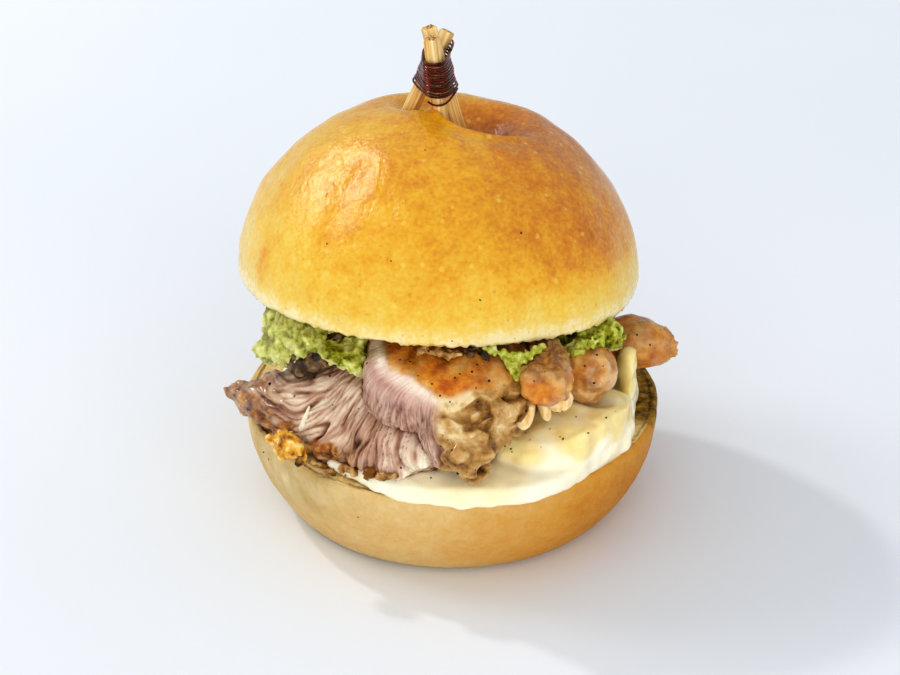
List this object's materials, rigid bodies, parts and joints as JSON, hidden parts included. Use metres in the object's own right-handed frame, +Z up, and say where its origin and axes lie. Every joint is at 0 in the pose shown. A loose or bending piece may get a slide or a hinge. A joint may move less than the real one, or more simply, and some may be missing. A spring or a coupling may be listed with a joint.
{
  "type": "filled bao bun",
  "caption": "Split round bun with a glossy domed top, filled with cream, roast pork and green mash, with bamboo picks bound by wire in its top.",
  "frame": {"origin": "centre of the flat underside of the lower bun", "axes": "+Z up through the upper bun; -Y is the open front, where the filling shows most; +X to the right seen from the front"},
  "size_m": [0.0942, 0.097, 0.1033],
  "materials": {
    "bun_base": "baked golden crust, satin",
    "bun_crown": "egg-washed golden crust, glossy",
    "pork_centre": "roast pork, moist",
    "pork_left": "cut roast pork, moist",
    "pork_right": "browned pork, moist",
    "pork_nugget": "browned pork, moist",
    "pork_knuckle": "browned pork, moist",
    "pork_back": "roast pork, moist",
    "cream": "pale yellow cream, soft sheen",
    "green_mash": "coarse green mash, wet",
    "mushroom_stem": "pale cooked mushroom",
    "mushroom_small": "pale cooked mushroom",
    "mushroom_cap": "pale cooked mushroom",
    "cooked_onion": "dark cooked onion, wet",
    "crackling": "yellow crackling, greasy",
    "pick_left": "split bamboo",
    "pick_right": "split bamboo",
    "pick_middle": "split bamboo",
    "wire_binding": "dark brown enamelled copper wire"
  },
  "bodies": {
    "root": {"bun_base": "bun_base", "bun_crown": "bun_crown", "pork_centre": "pork_centre", "pork_left": "pork_left", "pork_right": "pork_right", "pork_nugget": "pork_nugget", "pork_knuckle": "pork_knuckle", "pork_back": "pork_back", "cream": "cream", "green_mash": "green_mash", "mushroom_stem": "mushroom_stem", "mushroom_small": "mushroom_small", "mushroom_cap": "mushroom_cap", "cooked_onion": "cooked_onion", "crackling": "crackling", "pick_left": "pick_left", "pick_right": "pick_right", "pick_middle": "pick_middle", "wire_binding": "wire_binding"}
  },
  "joints": []
}
